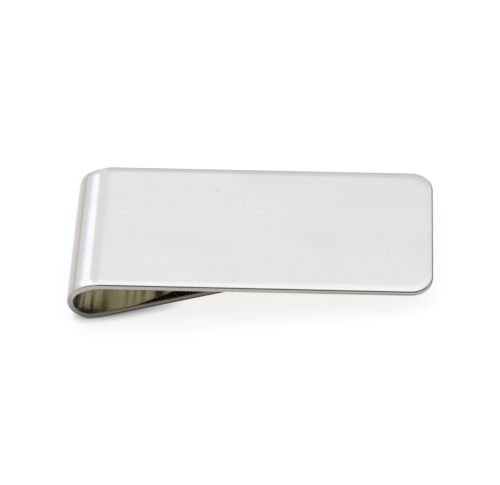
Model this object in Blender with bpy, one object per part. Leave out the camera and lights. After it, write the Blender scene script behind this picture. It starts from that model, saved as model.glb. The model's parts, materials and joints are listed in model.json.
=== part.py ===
"""One-piece spring money clip: a metal strip folded once into a plate, a round bend and a tapered tongue.

The strip is made as the real one is. Each zone is cut flat from the blank, in the blank's own coordinates
(s along the strip from the plate's free end, y across it, n towards the inside of the fold), its edges are
rolled, and it is then bent along the strip's neutral line. The clip is tilted as it stands on a flat surface,
on the bottom of the bend and the edge of the lip.

The bend flexes about two hinge lines across the strip, so the crown and the plate lift off the tongue.
"""

import math

import bmesh
import bpy
from mathutils import Matrix, Vector

MM = 0.001

# Driving dimensions
LENGTH = 50.8 * MM  # outside of the bend to the plate's free end
WIDTH = 23.5 * MM
THICKNESS = 0.94 * MM
BEND_HEIGHT = 6.94 * MM  # over the outer faces of the bend
SHOULDER_RADIUS = 6.0 * MM  # neutral line where the plate turns gently into the bend
SHOULDER_TURN = math.radians(36.0)
CORNER_RADIUS = 3.2 * MM  # the plate's two free corners
EDGE_RADIUS = 0.2 * MM  # rolled edges
RISE = math.radians(10.0)  # tongue towards the plate
CREST_RADIUS = 10.0 * MM  # tongue's neutral line where it comes nearest the plate
LIP_FALL = math.radians(14.0)  # lip away from the plate
LIP_LENGTH = 6.5 * MM  # straight part of the lip
TAPER_START = 0.8 * MM  # from the end of the bend
TAPER_EASE = 2.0 * MM  # the taper sets in along a curve, from this far before its start to this far after
TIP_WIDTH = 13.4 * MM
TIP_CORNER_RADIUS = 3.0 * MM
GRIP_GAP = 0.3 * MM  # crest to plate
ZONE_GAP = 0.3 * MM  # between two zones of the strip

# Fineness
STATION_ANGLE = math.radians(7.5)  # turn of the strip between two cross cuts
CORNER_SEGMENTS = 8
EASE_SEGMENTS = 6
EDGE_SEGMENTS = 3

# Look
METAL_COLOUR = (0.78, 0.775, 0.76, 1.0)
METAL_ROUGHNESS = 0.16

# The neutral line, from the plate's free end: plate, shoulder, crown, tongue, crest, lip
HALF = THICKNESS / 2
BEND_DROP = BEND_HEIGHT - THICKNESS
CROWN_TURN = math.pi + RISE - SHOULDER_TURN
CROWN_RADIUS = (BEND_DROP - SHOULDER_RADIUS * (1 - math.cos(SHOULDER_TURN))) / (1 + math.cos(SHOULDER_TURN))
CROWN_X = (CROWN_RADIUS - SHOULDER_RADIUS) * math.sin(SHOULDER_TURN)  # from the shoulder's start
PLATE_LENGTH = LENGTH + CROWN_X - CROWN_RADIUS - HALF
SHOULDER_LENGTH = SHOULDER_RADIUS * SHOULDER_TURN
CROWN_LENGTH = CROWN_RADIUS * CROWN_TURN
BEND_LENGTH = SHOULDER_LENGTH + CROWN_LENGTH
CREST_TURN = RISE + LIP_FALL
CREST_LENGTH = CREST_RADIUS * CREST_TURN
CLIMB = BEND_DROP - THICKNESS - GRIP_GAP - (CROWN_RADIUS + CREST_RADIUS) * (1 - math.cos(RISE))
TONGUE_LENGTH = CLIMB / math.sin(RISE)

BEND_START = PLATE_LENGTH
BEND_END = BEND_START + BEND_LENGTH
FLEX_UPPER = BEND_START + BEND_LENGTH / 4
FLEX_LOWER = BEND_END - BEND_LENGTH / 4
TAPER_FROM = BEND_END + TAPER_START
CREST_START = BEND_END + TONGUE_LENGTH
STRIP_END = CREST_START + CREST_LENGTH + LIP_LENGTH

RUNS = [  # length and turn of each run of the neutral line
    (PLATE_LENGTH, 0.0),
    (SHOULDER_LENGTH, SHOULDER_TURN),
    (CROWN_LENGTH, CROWN_TURN),
    (TONGUE_LENGTH, 0.0),
    (CREST_LENGTH, -CREST_TURN),
    (LIP_LENGTH, 0.0),
]
LINE_START = Vector((PLATE_LENGTH, 0, -HALF))


def on_line(s):
    """Point, heading and inward normal of the neutral line at s, with the plate level."""
    point, heading, left = LINE_START.copy(), math.pi, s
    for index, (length, turn) in enumerate(RUNS):
        last = index == len(RUNS) - 1
        step = left if last else min(left, length)
        swing = turn * step / length
        chord = step if swing == 0 else step * math.sin(swing / 2) / (swing / 2)
        along = heading + swing / 2
        point += Vector((math.cos(along), 0, math.sin(along))) * chord
        heading += swing
        left -= step
        if left <= 0:
            break
    return point, heading, Vector((-math.sin(heading), 0, math.cos(heading)))


def half_width(s):
    """Half the blank's width at s, without its rounded corners."""
    slope = (WIDTH - TIP_WIDTH) / 2 / (STRIP_END - TAPER_FROM)
    past = s - TAPER_FROM
    if past <= -TAPER_EASE:
        eased = 0.0
    elif past < TAPER_EASE:
        eased = (past + TAPER_EASE) ** 2 / (4 * TAPER_EASE)
    else:
        eased = past
    return WIDTH / 2 - slope * eased


def corner(end, inward, radius):
    """One rounded free corner at y > 0, from the strip's side to its end; inward is +1 or -1 along s."""
    for step in range(CORNER_SEGMENTS + 1):
        angle = math.pi / 2 * step / CORNER_SEGMENTS
        s = end + inward * radius * (1 - math.sin(angle))
        yield s, half_width(s) - radius * (1 - math.cos(angle))


def outline(first, last):
    """The y > 0 side of a zone's flat outline, in order of s."""
    side = []
    if first == 0:
        side += reversed(list(corner(0, 1, CORNER_RADIUS)))
    else:
        side.append((first, half_width(first)))
    for step in range(EASE_SEGMENTS + 1):
        s = TAPER_FROM + TAPER_EASE * (2 * step / EASE_SEGMENTS - 1)
        if first < s < last:
            side.append((s, half_width(s)))
    if last == STRIP_END:
        side += corner(STRIP_END, -1, TIP_CORNER_RADIUS)
    else:
        side.append((last, half_width(last)))
    return side


def stations(first, last):
    """Where the zone is cut across so that it can bend."""
    cuts, start = [], 0.0
    for length, turn in RUNS:
        count = math.ceil(abs(turn) / STATION_ANGLE)
        cuts += [start + length * i / count for i in range(count + 1)] if count else []
        start += length
    margin = EDGE_RADIUS / 2
    return [s for s in cuts if first + margin < s < last - margin]


def flat_zone(first, last):
    """A zone of the flat blank as a bmesh, with rolled edges where it isn't joined to a neighbour."""
    side = outline(first, last)
    rim = side + [(s, -y) for s, y in reversed(side)]
    bm = bmesh.new()
    face = bm.faces.new([bm.verts.new((s, y, -HALF)) for s, y in rim])
    top = bmesh.ops.extrude_face_region(bm, geom=[face])["geom"]
    lifted = [v for v in top if isinstance(v, bmesh.types.BMVert)]
    bmesh.ops.translate(bm, verts=lifted, vec=(0, 0, THICKNESS))
    bmesh.ops.recalc_face_normals(bm, faces=bm.faces)

    cuts = []
    if first > 0:
        cuts.append(min(v.co.x for v in bm.verts))
    if last < STRIP_END:
        cuts.append(max(v.co.x for v in bm.verts))
    rolled = []
    for edge in bm.edges:
        a, b = (v.co for v in edge.verts)
        across_cut = a.x == b.x and a.x in cuts
        if a.z == b.z and not across_cut:
            rolled.append(edge)
    bmesh.ops.bevel(
        bm, geom=rolled, offset=EDGE_RADIUS, segments=EDGE_SEGMENTS, profile=0.5, affect="EDGES"
    )

    for s in stations(first, last):
        geometry = bm.verts[:] + bm.edges[:] + bm.faces[:]
        bmesh.ops.bisect_plane(bm, geom=geometry, plane_co=(s, 0, 0), plane_no=(1, 0, 0))
    return bm


def bend_zone(bm):
    """Moves each point of the flat zone to its place on the bent strip."""
    for v in bm.verts:
        s, y, n = v.co
        point, _, inward = on_line(s)
        v.co = point + Vector((0, y, 0)) + inward * n


def metal(name):
    material = bpy.data.materials.new(name)
    material.use_nodes = True
    shader = material.node_tree.nodes["Principled BSDF"]
    shader.inputs["Base Color"].default_value = METAL_COLOUR
    shader.inputs["Metallic"].default_value = 1.0
    shader.inputs["Roughness"].default_value = METAL_ROUGHNESS
    material.diffuse_color = METAL_COLOUR
    return material


def add_zone(name, first, last, parent, pivot):
    """One zone of the strip as an object under its parent, whose origin is at pivot in the strip's frame."""
    bm = flat_zone(first, last)
    bend_zone(bm)
    bmesh.ops.translate(bm, verts=bm.verts, vec=-pivot)
    bmesh.ops.recalc_face_normals(bm, faces=bm.faces)
    mesh = bpy.data.meshes.new(name)
    bm.to_mesh(mesh)
    bm.free()
    mesh.shade_smooth()
    mesh.set_sharp_from_angle(angle=math.radians(35))
    mesh.materials.append(metal(name + "_metal"))
    zone = bpy.data.objects.new(name, mesh)
    bpy.context.scene.collection.objects.link(zone)
    zone.parent = parent
    return zone


def add_empty(name, parent=None, location=(0, 0, 0)):
    empty = bpy.data.objects.new(name, None)
    empty.empty_display_size = CROWN_RADIUS
    empty.parent = parent
    empty.location = location
    bpy.context.scene.collection.objects.link(empty)
    return empty


def standing_tilt():
    """Turn about +Y that puts the bottom of the bend and the edge of the lip on one level."""
    outer_radius = CROWN_RADIUS + HALF
    crown_centre = Vector((CROWN_X, 0, outer_radius - BEND_HEIGHT))
    tip, _, inward = on_line(STRIP_END - EDGE_RADIUS)
    lip_edge = tip - inward * (HALF - EDGE_RADIUS)
    span = lip_edge - crown_centre
    drop = math.atan2(span.z, span.x)
    return drop + math.asin((outer_radius - EDGE_RADIUS) / span.length)


def stand(clip, zones):
    """Tilts the clip as it stands and puts its base's centre at the origin."""
    tilt = Matrix.Rotation(standing_tilt(), 4, "Y")
    clip.matrix_world = tilt
    bpy.context.view_layer.update()
    corners = [z.matrix_world @ v.co for z in zones for v in z.data.vertices]
    low = Vector(min(c[i] for c in corners) for i in range(3))
    high = Vector(max(c[i] for c in corners) for i in range(3))
    clip.location = (-(low.x + high.x) / 2, -(low.y + high.y) / 2, -low.z)
    bpy.context.view_layer.update()


def build():
    for item in list(bpy.data.objects):
        bpy.data.objects.remove(item)
    lower_axis, upper_axis = on_line(FLEX_LOWER)[0], on_line(FLEX_UPPER)[0]
    clip = add_empty("clip")
    flex_lower = add_empty("flex_lower", clip, lower_axis)
    flex_upper = add_empty("flex_upper", flex_lower, upper_axis - lower_axis)
    gap = ZONE_GAP / 2
    origin = Vector((0, 0, 0))
    zones = [
        add_zone("front_plate", 0, BEND_START - gap, flex_upper, upper_axis),
        add_zone("bend_upper", BEND_START + gap, FLEX_UPPER - gap, flex_upper, upper_axis),
        add_zone("bend_crown", FLEX_UPPER + gap, FLEX_LOWER - gap, flex_lower, lower_axis),
        add_zone("bend_lower", FLEX_LOWER + gap, BEND_END - gap, clip, origin),
        add_zone("tongue", BEND_END + gap, CREST_START - gap, clip, origin),
        add_zone("tongue_lip", CREST_START + gap, STRIP_END, clip, origin),
    ]
    stand(clip, zones)


build()
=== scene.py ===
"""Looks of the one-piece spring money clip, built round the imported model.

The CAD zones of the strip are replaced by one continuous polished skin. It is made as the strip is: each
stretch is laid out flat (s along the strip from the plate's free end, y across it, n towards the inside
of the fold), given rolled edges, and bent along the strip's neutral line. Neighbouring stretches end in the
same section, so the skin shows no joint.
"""

import json
import math

import bpy
from mathutils import Matrix, Quaternion, Vector


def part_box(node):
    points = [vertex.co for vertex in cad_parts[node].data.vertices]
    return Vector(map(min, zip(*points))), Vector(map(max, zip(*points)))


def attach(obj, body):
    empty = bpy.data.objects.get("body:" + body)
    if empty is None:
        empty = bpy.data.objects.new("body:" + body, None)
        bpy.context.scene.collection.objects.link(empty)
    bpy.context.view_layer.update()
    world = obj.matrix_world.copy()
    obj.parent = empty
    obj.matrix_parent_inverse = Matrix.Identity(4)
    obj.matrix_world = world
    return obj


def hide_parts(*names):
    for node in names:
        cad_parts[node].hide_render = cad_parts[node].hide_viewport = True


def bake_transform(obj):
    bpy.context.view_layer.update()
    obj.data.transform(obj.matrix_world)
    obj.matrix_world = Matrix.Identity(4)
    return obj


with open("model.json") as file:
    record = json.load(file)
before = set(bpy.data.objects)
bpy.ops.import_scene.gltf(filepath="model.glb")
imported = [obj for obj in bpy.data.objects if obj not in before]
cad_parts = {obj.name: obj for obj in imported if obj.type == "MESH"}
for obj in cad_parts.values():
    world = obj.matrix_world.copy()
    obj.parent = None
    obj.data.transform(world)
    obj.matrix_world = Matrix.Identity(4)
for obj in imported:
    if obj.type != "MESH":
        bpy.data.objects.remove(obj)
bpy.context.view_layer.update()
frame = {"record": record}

MM = 0.001
RECORD = frame["record"]

# The strip's own sizes
PLATE_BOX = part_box("front_plate")
WIDTH = PLATE_BOX[1].y - PLATE_BOX[0].y
LENGTH = 50.8 * MM
THICKNESS = 0.94 * MM
BEND_HEIGHT = 6.94 * MM
SHOULDER_RADIUS = 6.0 * MM
SHOULDER_TURN = math.radians(36.0)
CORNER_RADIUS = 3.2 * MM
EDGE_RADIUS = 0.2 * MM
MARGIN = 1.4 * MM  # the outer face rolls off towards its edges, as polishing leaves it
MARGIN_TILT = math.radians(7.0)
RISE = math.radians(10.0)
CREST_RADIUS = 10.0 * MM
LIP_FALL = math.radians(14.0)
LIP_LENGTH = 6.5 * MM
TAPER_START = 0.8 * MM
TAPER_EASE = 2.0 * MM
TIP_WIDTH = 13.4 * MM
TIP_CORNER_RADIUS = 3.0 * MM
GRIP_GAP = 0.3 * MM
DRAW_IN = 0.13 * MM  # the outer face is narrower in the bend, where it is stretched
DRAW_DELAY = 0.8 * MM
DRAW_EASE = 1.6 * MM

HALF = THICKNESS / 2
BEND_DROP = BEND_HEIGHT - THICKNESS
CROWN_TURN = math.pi + RISE - SHOULDER_TURN
CROWN_RADIUS = (BEND_DROP - SHOULDER_RADIUS * (1 - math.cos(SHOULDER_TURN))) / (1 + math.cos(SHOULDER_TURN))
CROWN_X = (CROWN_RADIUS - SHOULDER_RADIUS) * math.sin(SHOULDER_TURN)
PLATE_LENGTH = LENGTH + CROWN_X - CROWN_RADIUS - HALF
SHOULDER_LENGTH = SHOULDER_RADIUS * SHOULDER_TURN
CROWN_LENGTH = CROWN_RADIUS * CROWN_TURN
BEND_LENGTH = SHOULDER_LENGTH + CROWN_LENGTH
CREST_TURN = RISE + LIP_FALL
CREST_LENGTH = CREST_RADIUS * CREST_TURN
CLIMB = BEND_DROP - THICKNESS - GRIP_GAP - (CROWN_RADIUS + CREST_RADIUS) * (1 - math.cos(RISE))
TONGUE_LENGTH = CLIMB / math.sin(RISE)
BEND_START = PLATE_LENGTH
BEND_MIDDLE = BEND_START + BEND_LENGTH / 2
BEND_END = BEND_START + BEND_LENGTH
TAPER_FROM = BEND_END + TAPER_START
STRIP_END = BEND_END + TONGUE_LENGTH + CREST_LENGTH + LIP_LENGTH
RUNS = [  # length and turn of each run of the neutral line
    (PLATE_LENGTH, 0.0),
    (SHOULDER_LENGTH, SHOULDER_TURN),
    (CROWN_LENGTH, CROWN_TURN),
    (TONGUE_LENGTH, 0.0),
    (CREST_LENGTH, -CREST_TURN),
    (LIP_LENGTH, 0.0),
]

# Fineness of the skin
STATION_ANGLE = math.radians(2.0)
STATION_STEP = 1.5 * MM
LEAST_STEP = 0.01 * MM
BLEND_SPARE = 0.02 * MM  # room beyond a section that has to stay wholly on one body
CORNER_SEGMENTS = 24
EDGE_SEGMENTS = 8
MARGIN_SEGMENTS = 8


# ---------------------------------------------------------------- the strip

def strip_place():
    """Matrix from the strip's frame (plate level, its bend starting at x 0) to the row frame."""
    face = RECORD["mounts"][0]
    normal = Vector(face["axis"]).normalized()
    along = Vector((0, 1, 0)).cross(normal)
    turn = Matrix((along, Vector((0, 1, 0)), normal)).transposed()
    corner = Vector(face["pos_m"]) - turn @ Vector((PLATE_LENGTH / 2, 0, 0))
    return Matrix.Translation(corner) @ turn.to_4x4()


PLACE = strip_place()


def on_line(s):
    """Point, heading and inward normal of the neutral line at s, with the plate level."""
    point, heading, left = Vector((PLATE_LENGTH, 0, -HALF)), math.pi, s
    for index, (length, turn) in enumerate(RUNS):
        last = index == len(RUNS) - 1
        step = left if last else min(left, length)
        swing = turn * step / length
        chord = step if swing == 0 else step * math.sin(swing / 2) / (swing / 2)
        along = heading + swing / 2
        point += Vector((math.cos(along), 0, math.sin(along))) * chord
        heading += swing
        left -= step
        if left <= 0:
            break
    ahead = Vector((math.cos(heading), 0, math.sin(heading)))
    return point, ahead, Vector((-ahead.z, 0, ahead.x))


def half_width(s):
    """Half the blank's width at s, without its rounded corners; the taper starts with an eased curve."""
    slope = (WIDTH - TIP_WIDTH) / 2 / (STRIP_END - TAPER_FROM)
    past = s - TAPER_FROM
    if past <= -TAPER_EASE:
        eased = 0.0
    elif past < TAPER_EASE:
        eased = (past + TAPER_EASE) ** 2 / (4 * TAPER_EASE)
    else:
        eased = past
    return WIDTH / 2 - slope * eased


def stations(first, last):
    """Where the stretch has a cross line: close together on the curved runs."""
    cuts, start = [first, last], 0.0
    for length, turn in RUNS:
        count = max(math.ceil(abs(turn) / STATION_ANGLE), math.ceil(length / STATION_STEP))
        cuts += [start + length * i / count for i in range(count + 1)]
        start += length
    cuts = sorted(s for s in cuts if first <= s <= last)
    kept = [first]
    for s in cuts:
        if s - kept[-1] > LEAST_STEP:
            kept.append(s)
    return kept


def corner_arc(radius):
    """A free corner's quarter circle, as (distance from the strip's end, drop from its side)."""
    quarter = [math.pi / 2 * i / CORNER_SEGMENTS for i in range(CORNER_SEGMENTS + 1)]
    return [(radius * (1 - math.sin(a)), radius * (1 - math.cos(a))) for a in quarter]


def side_line(first, last):
    """The y > 0 side of the stretch's flat outline, as (s, y) in order of s, free corners rounded."""
    start_free, end_free = first == 0, last == STRIP_END
    side = []
    for s in stations(first, last):
        past_start = not start_free or s > CORNER_RADIUS
        before_end = not end_free or s < STRIP_END - TIP_CORNER_RADIUS
        if past_start and before_end:
            side.append((s, half_width(s)))
    if start_free:
        arc = reversed(corner_arc(CORNER_RADIUS))
        side = [(s, half_width(s) - drop) for s, drop in arc] + side
    if end_free:
        arc = corner_arc(TIP_CORNER_RADIUS)
        side += [(STRIP_END - d, half_width(STRIP_END - d) - drop) for d, drop in arc]
    return side


def outward(side, index, start_free, end_free):
    """The outline's outward direction in the flat at one of its points, as (along s, along y)."""
    last = len(side) - 1
    if index == 0 and start_free:
        return -1.0, 0.0
    if index == last and end_free:
        return 1.0, 0.0
    if index in (0, last):
        s = side[index][0]
        ds, dy = 2 * LEAST_STEP, half_width(s + LEAST_STEP) - half_width(s - LEAST_STEP)
    else:
        before, after = side[index - 1], side[index + 1]
        ds, dy = after[0] - before[0], after[1] - before[1]
    length = math.hypot(ds, dy)
    return -dy / length, ds / length


def edge_profile():
    """The strip's side in section, outer face to inner: (inset, n) and the normal's (outward, n) parts."""
    round_start = EDGE_RADIUS * (1 - math.sin(MARGIN_TILT))
    margin = MARGIN - round_start
    profile = []
    for i in range(MARGIN_SEGMENTS):
        part = i / MARGIN_SEGMENTS
        tilt, drop = MARGIN_TILT * part, MARGIN_TILT * margin * part**2 / 2
        profile.append((MARGIN - margin * part, drop - HALF, math.sin(tilt), -math.cos(tilt)))
    outer_centre = MARGIN_TILT * margin / 2 - HALF + EDGE_RADIUS * math.cos(MARGIN_TILT)
    inner_centre = HALF - EDGE_RADIUS
    turns = [(outer_centre, MARGIN_TILT, math.pi / 2), (inner_centre, math.pi / 2, math.pi)]
    for centre, first, last in turns:
        for i in range(EDGE_SEGMENTS + 1):
            angle = first + (last - first) * i / EDGE_SEGMENTS
            out, up = math.sin(angle), -math.cos(angle)
            profile.append((EDGE_RADIUS * (1 - out), centre + EDGE_RADIUS * up, out, up))
    return profile


def draw_slope(s):
    """How much the strip's side leans in towards the outer face at s, per unit of thickness."""
    part = min(max((min(s - BEND_START, BEND_END - s) - DRAW_DELAY) / DRAW_EASE, 0.0), 1.0)
    return DRAW_IN / THICKNESS * part * part * (3 - 2 * part)


class Skin:
    """Vertices, faces and normals of one stretch of the strip, in the row frame."""

    def __init__(self):
        self.points, self.flat, self.normals = [], [], []
        self.faces, self.slots, self.caps = [], [], set()

    def add(self, s, y, n, normal):
        point, ahead, inward = on_line(s)
        turn = PLACE.to_3x3()
        self.points.append(PLACE @ (point + Vector((0, y, 0)) + inward * n))
        self.normals.append(turn @ (ahead * normal[0] + Vector((0, normal[1], 0)) + inward * normal[2]))
        self.flat.append((s, y, n))
        return len(self.points) - 1

    def face(self, ring, slot, cap=False):
        if cap:
            self.caps.add(len(self.faces))
        self.faces.append(ring)
        self.slots.append(slot)


OUTER, EDGE, INNER = 0, 1, 2


def build_skin(first, last):
    """Skin of the strip from first to last: both faces, both rolled edges, and free ends or end sections."""
    skin = Skin()
    side, profile = side_line(first, last), edge_profile()
    start_free, end_free = first == 0, last == STRIP_END
    columns = {+1: [], -1: []}
    for hand in columns:
        for index, (s, y) in enumerate(side):
            out_s, out_y = outward(side, index, start_free, end_free)
            lean = draw_slope(s)
            column = []
            for inset, n, out, up in profile:
                across = hand * (y - inset * out_y - lean * (HALF - n))
                normal = Vector((out * out_s, hand * out * out_y, up - lean * out)).normalized()
                column.append(skin.add(s - inset * out_s, across, n, normal))
            columns[hand].append(column)
    left, right = columns[+1], columns[-1]
    bands = range(len(profile) - 1)
    for a, b, c, d in zip(left, left[1:], right, right[1:]):
        for k in bands:
            slot = OUTER if k < MARGIN_SEGMENTS else EDGE
            skin.face((a[k], a[k + 1], b[k + 1], b[k]), slot)
            skin.face((d[k], d[k + 1], c[k + 1], c[k]), slot)
        skin.face((c[0], a[0], b[0], d[0]), OUTER)
        skin.face((d[-1], b[-1], a[-1], c[-1]), INNER)
    for free, a, c, way in ((start_free, left[0], right[0], 1), (end_free, left[-1], right[-1], -1)):
        if free:
            for k in bands:
                ring = (c[k], c[k + 1], a[k + 1], a[k])
                skin.face(ring[::way], OUTER if k < MARGIN_SEGMENTS else EDGE)
        else:
            ring = tuple(c) + tuple(reversed(a))
            skin.face(ring[::way], EDGE, cap=True)
    return skin


def make_stretch(name, first, last, materials):
    """One stretch of the skin as an object, with smooth normals taken from the strip's own shape."""
    skin = build_skin(first, last)
    mesh = bpy.data.meshes.new(name)
    mesh.from_pydata(skin.points, [], skin.faces)
    mesh.polygons.foreach_set("material_index", skin.slots)
    for material in materials:
        mesh.materials.append(material)
    flat = mesh.attributes.new("strip", "FLOAT_VECTOR", "POINT")
    flat.data.foreach_set("vector", [c for point in skin.flat for c in point])
    mesh.update()
    normals = []
    for polygon in mesh.polygons:
        for vertex in polygon.vertices:
            normals.append(polygon.normal if polygon.index in skin.caps else skin.normals[vertex])
    mesh.shade_smooth()
    mesh.normals_split_custom_set(normals)
    stretch = bpy.data.objects.new(name, mesh)
    bpy.context.scene.collection.objects.link(stretch)
    return stretch


# ---------------------------------------------------------------- materials

METAL = (0.565, 0.52, 0.47)
# Painted light: the inside of the fold has a lighter copy of the metal, so more light shows in the fold
LIT_INNER_METAL = (0.695, 0.664, 0.58)
PIT = (0.2, 0.18, 0.16)
# Painted shade: the dark colour laid in the fold's nip, along its rim and in bars across it
PAINTED_SHADE = (0.03, 0.024, 0.016)

# Outer face: least and most roughness, what its marks add to that, how dark they are, and how deep
FACE_ROUGHNESS = (0.045, 0.075)
HAIR_ROUGHNESS = 0.03
MARK_ROUGHNESS = 0.15
HAIR_WEIGHT = 0.03
PIT_WEIGHT = 0.45
DUST_WEIGHT = 0.4
SCRATCH_WEIGHT = 0.12
WAVE_DEPTH = 9e-6
HAIR_DEPTH = 1.2e-7
SCRATCH_DEPTH = 6e-7
PIT_DEPTH = 4e-6
SPOT_TURN = 0.3  # radians, which hides the grid that the spots lie on
SPOT_SIZES = (0.3, 1.3)  # least and most, as parts of the radius asked for

# Cut edge: a line is given by where it fades in n, and a run by where it fades in s
# Painted shade: the cut edge's metal is a darker copy of the face's, standing in for the shadowed floor it
# reflects
SHADED_EDGE_LEVEL = 0.81
EDGE_ROUGHNESS = (0.06, 0.11)
WORN_ROUGHNESS = 0.12
WORN_WEIGHT = 0.25
SHEAR_DEPTH = 8e-7
# Painted dark reflection: a dark line along the edge's outer corner, along the plate and fading out in the
# bend
CORNER_SHADE_LINE = (0.1, 0.095, 0.09)
CORNER_TOP = (-0.405 * MM, -0.375 * MM)
CORNER_BOTTOM = (-0.3 * MM, -0.23 * MM)
CORNER_RUN = (BEND_START - 0.5 * MM, BEND_START + 3.0 * MM)
CORNER_WEIGHT = 0.9
# Painted shade: a dark line in the lower part of the plate's edge, near its free end
LOWER_SHADE_LINE = (0.2, 0.19, 0.18)
LOWER_SHADE_TOP = (0.0, 0.05 * MM)
LOWER_SHADE_BOTTOM = (0.13 * MM, 0.19 * MM)
LOWER_SHADE_FROM = (1.5 * MM, CORNER_RADIUS)
LOWER_SHADE_RUN = (14.0 * MM, 20.0 * MM)
LOWER_SHADE_WEIGHT = 0.85
# Painted shade: the edge darkens from the bend's middle on and is dark along the tongue, standing in for the
# shadowed floor it reflects
SHADED_TONGUE_EDGE = (0.17, 0.16, 0.13)
EDGE_SHADE_RUN = (BEND_MIDDLE - 1.0 * MM, BEND_END - 2.2 * MM)
# Painted shade: a near-black line along the tongue's edge on its outer side, next to the floor
TONGUE_SHADE_LINE = (0.045, 0.044, 0.036)
OUTER_LINE = (-0.08 * MM, 0.04 * MM)
TONGUE_SHADE_RUN = (BEND_END - 0.5 * MM, BEND_END + 3.5 * MM)

# Inside of the fold: painted shade where the legs close (the nip), along the bend's rim, and in bars across
# it
INNER_ROUGHNESS = (0.06, 0.08)
STAIN_ROUGHNESS = 0.02
PAINTED_SHADE_ROUGHNESS = 0.2
LINE_DEPTH = 1.2e-7
NIP_SLANT = 2.7  # how far along the strip the nip's limit moves, for each step across it
NIP_RAGGED = 0.8 * MM
NIP_START = BEND_END + 35.2 * MM
NIP_FADE = 0.8 * MM  # at the sides
NIP_MIDDLE_FADE = 14.0 * MM
NIP_SIDE = (3.0 * MM, 9.0 * MM)
NIP_EDGE = (BEND_END + 5.6 * MM, BEND_END + 7.0 * MM)
# Painted shade along the inside of the bend's rim
RIM_SHADE_WIDTH = 1.5 * MM
RIM_SHADE_WEIGHT = 0.9
RIM_SHADE_FROM = (BEND_MIDDLE - 2.0 * MM, BEND_MIDDLE)
RIM_SHADE_RUN = (BEND_END, BEND_END + 3.0 * MM)
# Bars of painted shade across the inside of the fold
BARS = [  # place from the bend's end, half width, fade, and weight in the middle and at the side
    (-3.5 * MM, 0.95 * MM, 0.8 * MM, 0.86, 0.86),
    (-0.28 * MM, 0.12 * MM, 0.35 * MM, 0.1, 0.85),
    (1.52 * MM, 0.2 * MM, 0.8 * MM, 0.05, 0.62),
]
BAR_SIDE = (6.5 * MM, 10.3 * MM)


class Nodes:
    """Short forms for building a material's node tree."""

    def __init__(self, tree):
        self.tree = tree

    def node(self, kind, **settings):
        node = self.tree.nodes.new(kind)
        for key, value in settings.items():
            setattr(node, key, value)
        return node

    def link(self, source, target):
        self.tree.links.new(source, target)

    def math(self, operation, a, b):
        node = self.node("ShaderNodeMath", operation=operation)
        for socket, value in zip(node.inputs, (a, b)):
            if isinstance(value, (int, float)):
                socket.default_value = value
            else:
                self.link(value, socket)
        return node.outputs[0]

    def place(self):
        """The flat strip's s, y and n at the point."""
        flat = self.node("ShaderNodeAttribute", attribute_name="strip")
        parts = self.node("ShaderNodeSeparateXYZ")
        self.link(flat.outputs["Vector"], parts.inputs["Vector"])
        return tuple(parts.outputs)

    def stretched(self, per_mm, turn=0.0):
        """The flat strip's place (s, y, n), in marks per millimetre: a small number makes long marks."""
        flat = self.node("ShaderNodeAttribute", attribute_name="strip")
        swing = self.node("ShaderNodeMapping")
        swing.inputs["Rotation"].default_value = (0, 0, turn)
        self.link(flat.outputs["Vector"], swing.inputs["Vector"])
        mapping = self.node("ShaderNodeMapping")
        mapping.inputs["Scale"].default_value = [number / MM for number in per_mm]
        self.link(swing.outputs["Vector"], mapping.inputs["Vector"])
        return mapping.outputs["Vector"]

    def noise(self, per_mm, detail=2.0, turn=0.0):
        noise = self.node("ShaderNodeTexNoise")
        noise.inputs["Scale"].default_value = 1.0
        noise.inputs["Detail"].default_value = detail
        self.link(self.stretched(per_mm, turn), noise.inputs["Vector"])
        return noise.outputs["Fac"]

    def span(self, value, low, high, to_low, to_high, kind="LINEAR"):
        """value from low..high mapped to to_low..to_high, clamped."""
        node = self.node("ShaderNodeMapRange", interpolation_type=kind)
        numbers = {"From Min": low, "From Max": high, "To Min": to_low, "To Max": to_high}
        for name, number in numbers.items():
            node.inputs[name].default_value = number
        self.link(value, node.inputs["Value"])
        return node.outputs["Result"]

    def mixed(self, weight, first, second):
        """Colour first where weight is 0 and second where it is 1."""
        mix = self.node("ShaderNodeMix", data_type="RGBA")
        self.link(weight, mix.inputs["Factor"])
        for name, colour in (("A", first), ("B", second)):
            if isinstance(colour, tuple):
                mix.inputs[name].default_value = (*colour, 1.0)
            else:
                self.link(colour, mix.inputs[name])
        return mix.outputs["Result"]

    def total(self, *parts):
        result = parts[0]
        for part in parts[1:]:
            result = self.math("ADD", result, part)
        return result

    def spots(self, spacing, radius, share, stretch=1.0):
        """Weight of scattered spots: cells of width spacing, a share of them with a spot of about radius."""
        cells = self.node("ShaderNodeTexVoronoi", voronoi_dimensions="2D")
        cells.inputs["Scale"].default_value = 1.0
        grid = self.stretched((MM / spacing, stretch * MM / spacing, 0), SPOT_TURN)
        self.link(grid, cells.inputs["Vector"])
        pick = self.node("ShaderNodeSeparateColor")
        self.link(cells.outputs["Color"], pick.inputs["Color"])
        size = self.span(pick.outputs["Green"], 0, 1, *SPOT_SIZES)
        spot = self.span(self.math("DIVIDE", cells.outputs["Distance"], size), 0, radius / spacing, 1, 0)
        return self.math("MULTIPLY", spot, self.math("LESS_THAN", pick.outputs["Red"], share))

    def bump(self, *heights):
        """Normal from heights, each as (value, depth in metres)."""
        normal = None
        for value, depth in heights:
            bump = self.node("ShaderNodeBump")
            bump.inputs["Distance"].default_value = depth
            self.link(value, bump.inputs["Height"])
            if normal is not None:
                self.link(normal, bump.inputs["Normal"])
            normal = bump.outputs["Normal"]
        return normal


def metal_material(name, build):
    """A metal whose colour, roughness and normal come from build's procedural nodes."""
    material = bpy.data.materials.new(name)
    material.use_nodes = True
    shader = material.node_tree.nodes["Principled BSDF"]
    shader.inputs["Metallic"].default_value = 1.0
    nodes = Nodes(material.node_tree)
    for socket, source in zip(("Base Color", "Roughness", "Normal"), build(nodes)):
        nodes.link(source, shader.inputs[socket])
    return material


def shade(colour, level):
    return tuple(level * part for part in colour)


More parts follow.
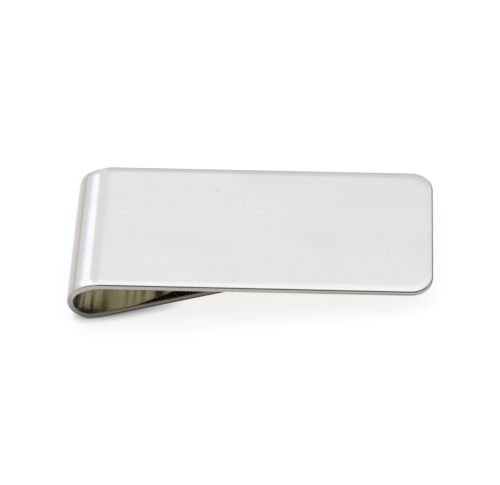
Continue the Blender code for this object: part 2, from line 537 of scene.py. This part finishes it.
def polished_face(nodes):
    """Buffed plate: faint lengthwise hairlines, handling haze, a slight waviness and a few small pits."""
    haze = nodes.noise((0.09, 0.14, 0.1), detail=4.0)
    cloud = nodes.noise((0.35, 0.3, 0.3), detail=3.0)
    hairs = nodes.noise((0.05, 9.0, 0), detail=3.0)
    scratch = nodes.noise((0.12, 16.0, 0), detail=1.0, turn=0.5)
    rare = nodes.math("MULTIPLY", nodes.span(scratch, 0.7, 0.76, 0, 1), nodes.span(cloud, 0.5, 0.62, 0, 1))
    pits = nodes.spots(spacing=3.4 * MM, radius=0.16 * MM, share=0.2, stretch=1.5)
    dust = nodes.spots(spacing=1.2 * MM, radius=0.08 * MM, share=0.16)
    pitted, dusty = nodes.math("MULTIPLY", pits, PIT_WEIGHT), nodes.math("MULTIPLY", dust, DUST_WEIGHT)
    scratched = nodes.math("MULTIPLY", rare, SCRATCH_WEIGHT)
    marks = nodes.math("MAXIMUM", nodes.math("MAXIMUM", pitted, dusty), scratched)
    metal = nodes.mixed(nodes.span(haze, 0.35, 0.7, 0, 1), shade(METAL, 1.01), shade(METAL, 0.975))
    metal = nodes.mixed(nodes.span(hairs, 0.3, 0.7, 0, HAIR_WEIGHT), metal, shade(METAL, 0.5))
    colour = nodes.mixed(marks, metal, PIT)
    roughness = nodes.total(
        nodes.span(haze, 0.4, 0.75, *FACE_ROUGHNESS),
        nodes.span(hairs, 0.5, 0.8, 0, HAIR_ROUGHNESS),
        nodes.math("MULTIPLY", nodes.math("MAXIMUM", rare, pits), MARK_ROUGHNESS),
    )
    wave = nodes.noise((0.16, 0.2, 0.2), detail=1.0)
    normal = nodes.bump((wave, WAVE_DEPTH), (hairs, HAIR_DEPTH), (rare, SCRATCH_DEPTH), (pits, -PIT_DEPTH))
    return colour, roughness, normal


def rolled_edge(nodes):
    """Cut edge: short shear marks across the thickness; polished beside the plate; painted shade darkens the
    edge, most along the tongue, and draws dark lines along its corners.
    """
    shear = nodes.noise((5.0, 5.0, 0.4), detail=3.0)
    patches = nodes.noise((0.5, 0.5, 2.0), detail=2.0)
    s, _, n = nodes.place()
    worn = nodes.math("MULTIPLY", nodes.span(shear, 0.45, 0.75, 0, 1), nodes.span(patches, 0.4, 0.6, 0.3, 1))

    # painted shade: edge metal darkening towards the tongue
    metal = nodes.mixed(nodes.span(s, *EDGE_SHADE_RUN, 0, 1), shade(METAL, SHADED_EDGE_LEVEL), SHADED_TONGUE_EDGE)
    # painted shade: dark line low on the plate's edge
    lower_shade = nodes.math("MULTIPLY", nodes.span(n, *LOWER_SHADE_TOP, 0, 1), nodes.span(n, *LOWER_SHADE_BOTTOM, 1, 0))
    past_corner = nodes.span(s, *LOWER_SHADE_FROM, 0, 1)
    near_tip = nodes.math("MULTIPLY", nodes.span(s, *LOWER_SHADE_RUN, LOWER_SHADE_WEIGHT, 0), past_corner)
    metal = nodes.mixed(nodes.math("MULTIPLY", lower_shade, near_tip), metal, LOWER_SHADE_LINE)
    # painted shade: dark line on the tongue's edge next to the floor
    outer, on_tongue = nodes.span(n, *OUTER_LINE, 1, 0), nodes.span(s, *TONGUE_SHADE_RUN, 0, 1)
    metal = nodes.mixed(nodes.math("MULTIPLY", outer, on_tongue), metal, TONGUE_SHADE_LINE)
    metal = nodes.mixed(nodes.math("MULTIPLY", worn, WORN_WEIGHT), metal, PIT)
    # painted dark reflection along the edge's outer corner
    corner_shade = nodes.math("MULTIPLY", nodes.span(n, *CORNER_TOP, 0, 1), nodes.span(n, *CORNER_BOTTOM, 1, 0))
    corner = nodes.math("MULTIPLY", corner_shade, nodes.span(s, *CORNER_RUN, CORNER_WEIGHT, 0))
    colour = nodes.mixed(corner, metal, CORNER_SHADE_LINE)
    roughness = nodes.total(
        nodes.span(patches, 0.35, 0.7, *EDGE_ROUGHNESS),
        nodes.math("MULTIPLY", worn, WORN_ROUGHNESS),
    )
    return colour, roughness, nodes.bump((shear, SHEAR_DEPTH))


def inner_face(nodes):
    """Inside of the fold: mill lines across the strip, on metal painted lighter than the face's, and painted
    shade in the nip, along the rim and in bars across it.
    """
    lines = nodes.noise((5.0, 0.04, 0.5), detail=2.0)
    bands = nodes.noise((0.6, 0.02, 0.2), detail=1.0)
    stain = nodes.noise((0.3, 0.3, 0.3), detail=4.0)
    s, y, _ = nodes.place()
    from_middle = nodes.math("ABSOLUTE", y, 0.0)

    # Painted shade where the legs close (the nip), its limit slanting across the strip
    reach = nodes.math("ADD", s, nodes.math("MULTIPLY", from_middle, NIP_SLANT))
    ragged = nodes.math("ADD", reach, nodes.math("MULTIPLY", stain, NIP_RAGGED))
    fade = nodes.span(from_middle, *NIP_SIDE, NIP_MIDDLE_FADE, NIP_FADE)
    part = nodes.math("DIVIDE", nodes.math("SUBTRACT", ragged, NIP_START), fade)
    nip = nodes.math("MULTIPLY", nodes.span(part, 0, 1, 0, 1), nodes.span(s, *NIP_EDGE, 0, 1))

    # Painted shade along the inside of the bend's rim
    rim = nodes.span(from_middle, WIDTH / 2 - RIM_SHADE_WIDTH, WIDTH / 2 - 0.5 * RIM_SHADE_WIDTH, 0, 1)
    along_rim = nodes.math("MULTIPLY", rim, nodes.span(s, *RIM_SHADE_FROM, 0, 1))
    rim_shade = nodes.math("MULTIPLY", along_rim, nodes.span(s, *RIM_SHADE_RUN, RIM_SHADE_WEIGHT, 0))
    dark = nodes.math("MAXIMUM", nip, rim_shade)
    # Bars of painted shade across the inside of the fold
    for place, half, soft, at_middle, at_side in BARS:
        away = nodes.math("ABSOLUTE", nodes.math("SUBTRACT", s, BEND_END + place), 0.0)
        weight = nodes.span(from_middle, *BAR_SIDE, at_middle, at_side)
        bar = nodes.math("MULTIPLY", nodes.span(away, half, half + soft, 1, 0), weight)
        dark = nodes.math("MAXIMUM", dark, bar)

    # painted light: the metal inside the fold is lighter than the face's
    lit, dim = shade(LIT_INNER_METAL, 1.05), shade(LIT_INNER_METAL, 1.01)
    metal = nodes.mixed(nodes.span(lines, 0.35, 0.7, 0, 1), lit, dim)
    metal = nodes.mixed(nodes.span(bands, 0.5, 0.75, 0, 1), metal, shade(LIT_INNER_METAL, 0.98))
    colour = nodes.mixed(dark, metal, PAINTED_SHADE)
    roughness = nodes.total(
        nodes.span(lines, 0.4, 0.8, *INNER_ROUGHNESS),
        nodes.span(stain, 0.45, 0.7, 0, STAIN_ROUGHNESS),
        nodes.math("MULTIPLY", dark, PAINTED_SHADE_ROUGHNESS),
    )
    return colour, roughness, nodes.bump((lines, LINE_DEPTH))


# ---------------------------------------------------------------- the clip

MATERIALS = [
    metal_material("polished_face", polished_face),
    metal_material("rolled_edge", rolled_edge),
    metal_material("inner_face", inner_face),
]

plate = make_stretch("plate_skin", 0, BEND_START, MATERIALS)
upper = make_stretch("bend_upper_skin", BEND_START, BEND_MIDDLE, MATERIALS)
lower = make_stretch("bend_lower_skin", BEND_MIDDLE, BEND_END, MATERIALS)
tongue = make_stretch("tongue_skin", BEND_END, STRIP_END, MATERIALS)


def flex(stretch, first, last):
    """Bakes a stretch of the bend's placement into its mesh; the ends of its blend between two bodies, each
    end section wholly on one body, are worked out but not used.
    """
    start, end = (on_line(s)[0] for s in (first, last))
    way = (end - start).normalized()
    half_section = [HALF * abs(on_line(s)[2].dot(way)) for s in (first, last)]
    start += way * (half_section[0] + BLEND_SPARE)
    end -= way * (half_section[1] + BLEND_SPARE)
    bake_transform(stretch)


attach(plate, "front_leg")
flex(upper, BEND_START, BEND_MIDDLE)
flex(lower, BEND_MIDDLE, BEND_END)
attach(tongue, "back_leg")
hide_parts("front_plate")
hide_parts("bend_upper", "bend_crown")
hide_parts("bend_lower")
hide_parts("tongue", "tongue_lip")


# ---------------------------------------------------------------- the studio

VIEW_AZIMUTH = math.radians(7.65)
VIEW_ELEVATION = math.radians(45.26)
VIEW_ROLL = math.radians(-7.45)
VIEW_TARGET = Vector((-0.24, -1.21, 3.4)) * MM
VIEW_DISTANCE = 404.1 * MM
LENS = 206.7  # mm, on a 36 mm sensor
CLIP_START = 10 * MM
MOST_BOUNCES = 16  # light crosses the narrow fold in many small steps
MIRROR_BOUNCES = 12
FLOOR_HALF = 4.0  # metres from its middle to its sides
FLOOR_WHITE = 0.22
FLOOR_ROUGHNESS = 0.9
FLOOR_GLOW = 0.78
SHADOW_REACH = 1.2 * MM  # how close a thing stands over the floor when a contact shadow is painted into its glow
FLOOR_SAMPLES = 16


def direction(azimuth, elevation):
    """Unit vector from the clip to an azimuth, counted from -Y towards +X, and an elevation."""
    flat = math.cos(elevation)
    return Vector((math.sin(azimuth) * flat, -math.cos(azimuth) * flat, math.sin(elevation)))


def make_camera():
    data = bpy.data.cameras.new("camera")
    data.lens = LENS
    data.clip_start = CLIP_START
    camera = bpy.data.objects.new("camera", data)
    bpy.context.scene.collection.objects.link(camera)
    back = direction(VIEW_AZIMUTH, VIEW_ELEVATION)
    camera.location = VIEW_TARGET + back * VIEW_DISTANCE
    camera.rotation_mode = "QUATERNION"
    level = back.to_track_quat("Z", "Y")
    camera.rotation_quaternion = level @ Quaternion((0, 0, 1), VIEW_ROLL)
    bpy.context.scene.camera = camera


def make_floor():
    """A white light table: it glows evenly, with a painted contact shadow that dims the glow where something
    stands close over it.
    """
    mesh = bpy.data.meshes.new("floor")
    corners = [(x * FLOOR_HALF, y * FLOOR_HALF, 0) for x, y in ((-1, -1), (1, -1), (1, 1), (-1, 1))]
    mesh.from_pydata(corners, [], [(0, 1, 2, 3)])
    floor = bpy.data.objects.new("floor", mesh)
    bpy.context.scene.collection.objects.link(floor)
    material = bpy.data.materials.new("light_table")
    material.use_nodes = True
    nodes = Nodes(material.node_tree)
    shader = material.node_tree.nodes["Principled BSDF"]
    shader.inputs["Base Color"].default_value = (*[FLOOR_WHITE] * 3, 1.0)
    shader.inputs["Roughness"].default_value = FLOOR_ROUGHNESS
    shader.inputs["Specular IOR Level"].default_value = 0.0
    shader.inputs["Emission Color"].default_value = (1.0, 1.0, 1.0, 1.0)
    # Painted contact shadow: ambient occlusion dims the floor's glow where something stands close over it
    near = nodes.node("ShaderNodeAmbientOcclusion", samples=FLOOR_SAMPLES)
    near.inputs["Distance"].default_value = SHADOW_REACH
    nodes.link(nodes.math("MULTIPLY", near.outputs["AO"], FLOOR_GLOW), shader.inputs["Emission Strength"])
    mesh.materials.append(material)


class Sky:
    """The studio by direction: a tent that grades from back to front, with soft-edged panels in it."""

    TOP = 2.5  # the brightest level that the studio can hold
    LEAST_AHEAD = 0.01  # keeps directions behind a panel outside it

    def __init__(self):
        world = bpy.data.worlds.new("studio")
        bpy.context.scene.world = world
        world.use_nodes = True
        self.background = world.node_tree.nodes["Background"]
        self.background.inputs["Strength"].default_value = self.TOP
        self.nodes = Nodes(world.node_tree)
        self.way = self.nodes.node("ShaderNodeTexCoord").outputs["Generated"]
        self.colour = None

    def tone(self, level, tint):
        return tuple(level * part / self.TOP for part in tint)

    def along(self, axis):
        dot = self.nodes.node("ShaderNodeVectorMath", operation="DOT_PRODUCT")
        self.nodes.link(self.way, dot.inputs[0])
        dot.inputs[1].default_value = axis
        return dot.outputs["Value"]

    def tent(self, stops):
        """Levels by the angle in degrees from the back's horizon, over the top, to the front's horizon."""
        angle = self.nodes.math("ARCTAN2", self.along((0, 0, 1)), self.along((0, 1, 0)))
        ramp = self.nodes.node("ShaderNodeValToRGB")
        elements = ramp.color_ramp.elements
        while len(elements) < len(stops):
            elements.new(0.5)
        for element, (degrees, level, tint) in zip(elements, stops):
            element.position = degrees / 180
            element.color = (*self.tone(level, tint), 1.0)
        self.nodes.link(self.nodes.math("DIVIDE", angle, math.pi), ramp.inputs["Fac"])
        self.colour = ramp.outputs["Color"]

    def inside(self, centre, axis, size, soft):
        """1 within size / 2 of centre along axis, softly 0 beyond; size and soft are in degrees."""
        ahead = self.nodes.math("MAXIMUM", self.along(centre), self.LEAST_AHEAD)
        slide = self.nodes.math("DIVIDE", self.along(axis), ahead)
        edge, soft = math.tan(math.radians(size / 2)), math.tan(math.radians(soft))
        away = self.nodes.math("ABSOLUTE", slide, 0.0)
        return self.nodes.span(away, edge - soft, edge + soft, 1, 0, kind="SMOOTHSTEP")

    def panel(self, azimuth, elevation, width, height, soft, level, tint):
        """A panel round a direction, soft-edged across and up, over what the studio has so far."""
        centre = direction(math.radians(azimuth), math.radians(elevation))
        across = Vector((-centre.y, centre.x, 0)).normalized()
        in_width = self.inside(centre, across, width, soft[0])
        in_height = self.inside(centre, centre.cross(across), height, soft[1])
        shape = self.nodes.math("MULTIPLY", in_width, in_height)
        self.colour = self.nodes.mixed(shape, self.colour, self.tone(level, tint))

    def finish(self):
        self.nodes.link(self.colour, self.background.inputs["Color"])


NEUTRAL = (1.0, 1.0, 1.03)
COOL = (1.0, 1.077, 1.18)
BLUISH = (1.0, 1.08, 1.24)

TENT = [  # angle in degrees from the back's horizon over the top, level, tint
    (0, 0.86, NEUTRAL),
    (15, 0.92, NEUTRAL),
    (32, 1.02, COOL),
    (40, 1.16, COOL),
    (45, 1.38, COOL),
    (54, 1.6, COOL),
    (75, 1.72, COOL),
    (105, 1.0, NEUTRAL),
    (125, 0.7, NEUTRAL),
    (180, 0.8, NEUTRAL),
]
PANELS = [  # azimuth, elevation, width, height and softness (across, up) in degrees, level, tint
    (222, 30, 16, 40, (5, 6), 1.15, BLUISH),
    (207, 36, 20, 32, (3.5, 5), 1.28, COOL),
    (221, 43, 16, 40, (1.5, 7), 1.7, BLUISH),
    (180.5, 46, 4, 12, (2.5, 2.5), 1.42, COOL),
    (150, 40, 12, 30, (4, 4), 1.1, COOL),
    (134, 4, 24, 36, (6, 6), 0.4, NEUTRAL),
    (0, 50, 24, 40, (6, 6), 0.4, NEUTRAL),
]


def make_world():
    """A light tent: bright behind and above the clip, darker in front where the camera stands."""
    sky = Sky()
    sky.tent(TENT)
    for panel in PANELS:
        sky.panel(*panel)
    sky.finish()


make_camera()
make_floor()
make_world()
bpy.context.scene.view_settings.view_transform = "Standard"
bpy.context.scene.cycles.max_bounces = MOST_BOUNCES
bpy.context.scene.cycles.glossy_bounces = MIRROR_BOUNCES
